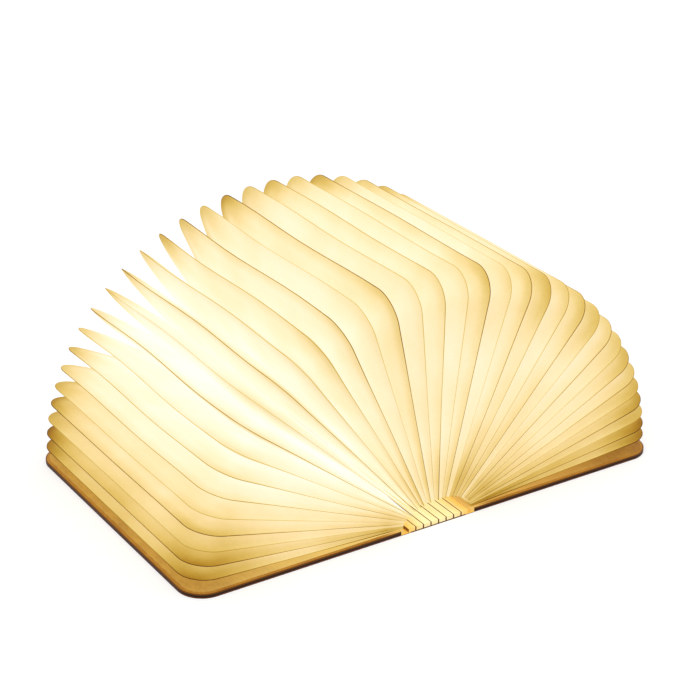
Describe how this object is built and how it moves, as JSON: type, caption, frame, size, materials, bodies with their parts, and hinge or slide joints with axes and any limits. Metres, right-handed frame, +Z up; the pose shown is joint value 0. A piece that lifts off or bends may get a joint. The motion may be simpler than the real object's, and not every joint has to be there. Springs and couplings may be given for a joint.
{
  "type": "folding book lamp",
  "caption": "Small book-shaped lamp, open flat: two hinged covers on a slatted spine and a half-round fan of pleated paper pages lit from inside.",
  "frame": {"origin": "centre of the flat underside, at the middle of the spine", "axes": "+X across the covers, +Y along the spine towards the charge port, +Z up"},
  "size_m": [0.202, 0.122, 0.0955],
  "materials": {
    "page_paper": "translucent fibre paper, lit warm from inside",
    "lining_paper": "matt paper",
    "board_wood": "raw thin board",
    "cover_skin": "smooth dark brown skin",
    "cloth": "fine woven binding cloth",
    "slat_wood": "pale satin wood",
    "tray_plastic": "matt moulded",
    "diffuser": "milky",
    "battery_foil": "satin foil pouch",
    "circuit_board": "white solder mask",
    "port_metal": "bright",
    "chip": "moulded",
    "lamp_chip": "clear over phosphor",
    "screw_steel": "plain",
    "magnet": "nickel plated"
  },
  "bodies": {
    "spine": {"spine_backing": "cloth", "spine_slats": "slat_wood", "left_hinge_cloth": "cloth", "right_hinge_cloth": "cloth", "light_tray": "tray_plastic", "near_end_cap": "tray_plastic", "far_end_cap": "tray_plastic", "diffuser": "diffuser", "battery_cell": "battery_foil", "control_board": "circuit_board", "charge_port": "port_metal", "hall_sensor": "chip", "led_board": "circuit_board", "leds": "lamp_chip", "tray_screws": "screw_steel", "centre_page": "page_paper"},
    "left_cover": {"left_board": "board_wood", "left_skin": "cover_skin", "left_lining": "lining_paper", "left_magnets": "magnet", "sensor_magnet": "magnet"},
    "left_page_01": {"left_page_01": "page_paper"},
    "left_page_02": {"left_page_02": "page_paper"},
    "left_page_03": {"left_page_03": "page_paper"},
    "left_page_04": {"left_page_04": "page_paper"},
    "left_page_05": {"left_page_05": "page_paper"},
    "left_page_06": {"left_page_06": "page_paper"},
    "left_page_07": {"left_page_07": "page_paper"},
    "left_page_08": {"left_page_08": "page_paper"},
    "left_page_09": {"left_page_09": "page_paper"},
    "left_page_10": {"left_page_10": "page_paper"},
    "left_page_11": {"left_page_11": "page_paper"},
    "left_page_12": {"left_page_12": "page_paper"},
    "left_page_13": {"left_page_13": "page_paper"},
    "left_page_14": {"left_page_14": "page_paper"},
    "left_page_15": {"left_page_15": "page_paper"},
    "left_page_16": {"left_page_16": "page_paper"},
    "left_page_17": {"left_page_17": "page_paper"},
    "right_cover": {"right_board": "board_wood", "right_skin": "cover_skin", "right_lining": "lining_paper", "right_magnets": "magnet"},
    "right_page_01": {"right_page_01": "page_paper"},
    "right_page_02": {"right_page_02": "page_paper"},
    "right_page_03": {"right_page_03": "page_paper"},
    "right_page_04": {"right_page_04": "page_paper"},
    "right_page_05": {"right_page_05": "page_paper"},
    "right_page_06": {"right_page_06": "page_paper"},
    "right_page_07": {"right_page_07": "page_paper"},
    "right_page_08": {"right_page_08": "page_paper"},
    "right_page_09": {"right_page_09": "page_paper"},
    "right_page_10": {"right_page_10": "page_paper"},
    "right_page_11": {"right_page_11": "page_paper"},
    "right_page_12": {"right_page_12": "page_paper"},
    "right_page_13": {"right_page_13": "page_paper"},
    "right_page_14": {"right_page_14": "page_paper"},
    "right_page_15": {"right_page_15": "page_paper"},
    "right_page_16": {"right_page_16": "page_paper"},
    "right_page_17": {"right_page_17": "page_paper"}
  },
  "joints": [
    {"name": "left_hinge", "type": "hinge", "parent": "spine", "child": "left_cover", "pos_m": [-0.014, 0, 0.001], "axis": [0, 1, 0], "range_deg": [-90, 90], "deforming": ["left_hinge_cloth"]},
    {"name": "left_fold_01", "type": "hinge", "parent": "spine", "child": "left_page_01", "pos_m": [-0.014, 0, 0.001], "axis": [0, 1, 0], "range_deg": [-6.04, 6.04], "deforming": ["left_page_01", "centre_page"]},
    {"name": "left_fold_02", "type": "hinge", "parent": "spine", "child": "left_page_02", "pos_m": [-0.014, 0, 0.001], "axis": [0, 1, 0], "range_deg": [-12.02, 12.02], "deforming": ["left_page_02"]},
    {"name": "left_fold_03", "type": "hinge", "parent": "spine", "child": "left_page_03", "pos_m": [-0.014, 0, 0.001], "axis": [0, 1, 0], "range_deg": [-17.91, 17.91], "deforming": ["left_page_03"]},
    {"name": "left_fold_04", "type": "hinge", "parent": "spine", "child": "left_page_04", "pos_m": [-0.014, 0, 0.001], "axis": [0, 1, 0], "range_deg": [-23.71, 23.71], "deforming": ["left_page_04"]},
    {"name": "left_fold_05", "type": "hinge", "parent": "spine", "child": "left_page_05", "pos_m": [-0.014, 0, 0.001], "axis": [0, 1, 0], "range_deg": [-29.4, 29.4], "deforming": ["left_page_05"]},
    {"name": "left_fold_06", "type": "hinge", "parent": "spine", "child": "left_page_06", "pos_m": [-0.014, 0, 0.001], "axis": [0, 1, 0], "range_deg": [-35.03, 35.03], "deforming": ["left_page_06"]},
    {"name": "left_fold_07", "type": "hinge", "parent": "spine", "child": "left_page_07", "pos_m": [-0.014, 0, 0.001], "axis": [0, 1, 0], "range_deg": [-40.61, 40.61], "deforming": ["left_page_07"]},
    {"name": "left_fold_08", "type": "hinge", "parent": "spine", "child": "left_page_08", "pos_m": [-0.014, 0, 0.001], "axis": [0, 1, 0], "range_deg": [-46.15, 46.15], "deforming": ["left_page_08"]},
    {"name": "left_fold_09", "type": "hinge", "parent": "spine", "child": "left_page_09", "pos_m": [-0.014, 0, 0.001], "axis": [0, 1, 0], "range_deg": [-51.64, 51.64], "deforming": ["left_page_09"]},
    {"name": "left_fold_10", "type": "hinge", "parent": "spine", "child": "left_page_10", "pos_m": [-0.014, 0, 0.001], "axis": [0, 1, 0], "range_deg": [-57.02, 57.02], "deforming": ["left_page_10"]},
    {"name": "left_fold_11", "type": "hinge", "parent": "spine", "child": "left_page_11", "pos_m": [-0.014, 0, 0.001], "axis": [0, 1, 0], "range_deg": [-62.22, 62.22], "deforming": ["left_page_11"]},
    {"name": "left_fold_12", "type": "hinge", "parent": "spine", "child": "left_page_12", "pos_m": [-0.014, 0, 0.001], "axis": [0, 1, 0], "range_deg": [-67.15, 67.15], "deforming": ["left_page_12"]},
    {"name": "left_fold_13", "type": "hinge", "parent": "spine", "child": "left_page_13", "pos_m": [-0.014, 0, 0.001], "axis": [0, 1, 0], "range_deg": [-71.76, 71.76], "deforming": ["left_page_13"]},
    {"name": "left_fold_14", "type": "hinge", "parent": "spine", "child": "left_page_14", "pos_m": [-0.014, 0, 0.001], "axis": [0, 1, 0], "range_deg": [-76, 76], "deforming": ["left_page_14"]},
    {"name": "left_fold_15", "type": "hinge", "parent": "spine", "child": "left_page_15", "pos_m": [-0.014, 0, 0.001], "axis": [0, 1, 0], "range_deg": [-79.9, 79.9], "deforming": ["left_page_15"]},
    {"name": "left_fold_16", "type": "hinge", "parent": "spine", "child": "left_page_16", "pos_m": [-0.014, 0, 0.001], "axis": [0, 1, 0], "range_deg": [-83.53, 83.53], "deforming": ["left_page_16"]},
    {"name": "left_fold_17", "type": "hinge", "parent": "spine", "child": "left_page_17", "pos_m": [-0.014, 0, 0.001], "axis": [0, 1, 0], "range_deg": [-87.01, 87.01], "deforming": ["left_page_17"]},
    {"name": "right_hinge", "type": "hinge", "parent": "spine", "child": "right_cover", "pos_m": [0.014, 0, 0.001], "axis": [0, -1, 0], "range_deg": [-90, 90], "deforming": ["right_hinge_cloth"]},
    {"name": "right_fold_01", "type": "hinge", "parent": "spine", "child": "right_page_01", "pos_m": [0.014, 0, 0.001], "axis": [0, -1, 0], "range_deg": [-6.12, 6.12], "deforming": ["right_page_01"]},
    {"name": "right_fold_02", "type": "hinge", "parent": "spine", "child": "right_page_02", "pos_m": [0.014, 0, 0.001], "axis": [0, -1, 0], "range_deg": [-12.2, 12.2], "deforming": ["right_page_02"]},
    {"name": "right_fold_03", "type": "hinge", "parent": "spine", "child": "right_page_03", "pos_m": [0.014, 0, 0.001], "axis": [0, -1, 0], "range_deg": [-18.2, 18.2], "deforming": ["right_page_03"]},
    {"name": "right_fold_04", "type": "hinge", "parent": "spine", "child": "right_page_04", "pos_m": [0.014, 0, 0.001], "axis": [0, -1, 0], "range_deg": [-24.12, 24.12], "deforming": ["right_page_04"]},
    {"name": "right_fold_05", "type": "hinge", "parent": "spine", "child": "right_page_05", "pos_m": [0.014, 0, 0.001], "axis": [0, -1, 0], "range_deg": [-29.97, 29.97], "deforming": ["right_page_05"]},
    {"name": "right_fold_06", "type": "hinge", "parent": "spine", "child": "right_page_06", "pos_m": [0.014, 0, 0.001], "axis": [0, -1, 0], "range_deg": [-35.77, 35.77], "deforming": ["right_page_06"]},
    {"name": "right_fold_07", "type": "hinge", "parent": "spine", "child": "right_page_07", "pos_m": [0.014, 0, 0.001], "axis": [0, -1, 0], "range_deg": [-41.54, 41.54], "deforming": ["right_page_07"]},
    {"name": "right_fold_08", "type": "hinge", "parent": "spine", "child": "right_page_08", "pos_m": [0.014, 0, 0.001], "axis": [0, -1, 0], "range_deg": [-47.27, 47.27], "deforming": ["right_page_08"]},
    {"name": "right_fold_09", "type": "hinge", "parent": "spine", "child": "right_page_09", "pos_m": [0.014, 0, 0.001], "axis": [0, -1, 0], "range_deg": [-52.92, 52.92], "deforming": ["right_page_09"]},
    {"name": "right_fold_10", "type": "hinge", "parent": "spine", "child": "right_page_10", "pos_m": [0.014, 0, 0.001], "axis": [0, -1, 0], "range_deg": [-58.42, 58.42], "deforming": ["right_page_10"]},
    {"name": "right_fold_11", "type": "hinge", "parent": "spine", "child": "right_page_11", "pos_m": [0.014, 0, 0.001], "axis": [0, -1, 0], "range_deg": [-63.66, 63.66], "deforming": ["right_page_11"]},
    {"name": "right_fold_12", "type": "hinge", "parent": "spine", "child": "right_page_12", "pos_m": [0.014, 0, 0.001], "axis": [0, -1, 0], "range_deg": [-68.56, 68.56], "deforming": ["right_page_12"]},
    {"name": "right_fold_13", "type": "hinge", "parent": "spine", "child": "right_page_13", "pos_m": [0.014, 0, 0.001], "axis": [0, -1, 0], "range_deg": [-73.01, 73.01], "deforming": ["right_page_13"]},
    {"name": "right_fold_14", "type": "hinge", "parent": "spine", "child": "right_page_14", "pos_m": [0.014, 0, 0.001], "axis": [0, -1, 0], "range_deg": [-76.99, 76.99], "deforming": ["right_page_14"]},
    {"name": "right_fold_15", "type": "hinge", "parent": "spine", "child": "right_page_15", "pos_m": [0.014, 0, 0.001], "axis": [0, -1, 0], "range_deg": [-80.52, 80.52], "deforming": ["right_page_15"]},
    {"name": "right_fold_16", "type": "hinge", "parent": "spine", "child": "right_page_16", "pos_m": [0.014, 0, 0.001], "axis": [0, -1, 0], "range_deg": [-83.71, 83.71], "deforming": ["right_page_16"]},
    {"name": "right_fold_17", "type": "hinge", "parent": "spine", "child": "right_page_17", "pos_m": [0.014, 0, 0.001], "axis": [0, -1, 0], "range_deg": [-86.7, 86.7], "deforming": ["right_page_17"]}
  ],
  "couplings": [
    {"joint": "left_fold_01", "follows": "left_hinge", "ratio": 0.06703},
    {"joint": "left_fold_02", "follows": "left_hinge", "ratio": 0.1335},
    {"joint": "left_fold_03", "follows": "left_hinge", "ratio": 0.19899},
    {"joint": "left_fold_04", "follows": "left_hinge", "ratio": 0.26335},
    {"joint": "left_fold_05", "follows": "left_hinge", "ratio": 0.32666},
    {"joint": "left_fold_06", "follows": "left_hinge", "ratio": 0.38918},
    {"joint": "left_fold_07", "follows": "left_hinge", "ratio": 0.45118},
    {"joint": "left_fold_08", "follows": "left_hinge", "ratio": 0.51276},
    {"joint": "left_fold_09", "follows": "left_hinge", "ratio": 0.5737},
    {"joint": "left_fold_10", "follows": "left_hinge", "ratio": 0.63347},
    {"joint": "left_fold_11", "follows": "left_hinge", "ratio": 0.69123},
    {"joint": "left_fold_12", "follows": "left_hinge", "ratio": 0.74607},
    {"joint": "left_fold_13", "follows": "left_hinge", "ratio": 0.79724},
    {"joint": "left_fold_14", "follows": "left_hinge", "ratio": 0.84438},
    {"joint": "left_fold_15", "follows": "left_hinge", "ratio": 0.88769},
    {"joint": "left_fold_16", "follows": "left_hinge", "ratio": 0.928},
    {"joint": "left_fold_17", "follows": "left_hinge", "ratio": 0.96667},
    {"joint": "right_fold_01", "follows": "right_hinge", "ratio": 0.06798},
    {"joint": "right_fold_02", "follows": "right_hinge", "ratio": 0.13548},
    {"joint": "right_fold_03", "follows": "right_hinge", "ratio": 0.20217},
    {"joint": "right_fold_04", "follows": "right_hinge", "ratio": 0.26796},
    {"joint": "right_fold_05", "follows": "right_hinge", "ratio": 0.33295},
    {"joint": "right_fold_06", "follows": "right_hinge", "ratio": 0.39739},
    {"joint": "right_fold_07", "follows": "right_hinge", "ratio": 0.46147},
    {"joint": "right_fold_08", "follows": "right_hinge", "ratio": 0.52512},
    {"joint": "right_fold_09", "follows": "right_hinge", "ratio": 0.58791},
    {"joint": "right_fold_10", "follows": "right_hinge", "ratio": 0.64902},
    {"joint": "right_fold_11", "follows": "right_hinge", "ratio": 0.70733},
    {"joint": "right_fold_12", "follows": "right_hinge", "ratio": 0.76168},
    {"joint": "right_fold_13", "follows": "right_hinge", "ratio": 0.81115},
    {"joint": "right_fold_14", "follows": "right_hinge", "ratio": 0.85535},
    {"joint": "right_fold_15", "follows": "right_hinge", "ratio": 0.8946},
    {"joint": "right_fold_16", "follows": "right_hinge", "ratio": 0.93002},
    {"joint": "right_fold_17", "follows": "right_hinge", "ratio": 0.96333}
  ]
}
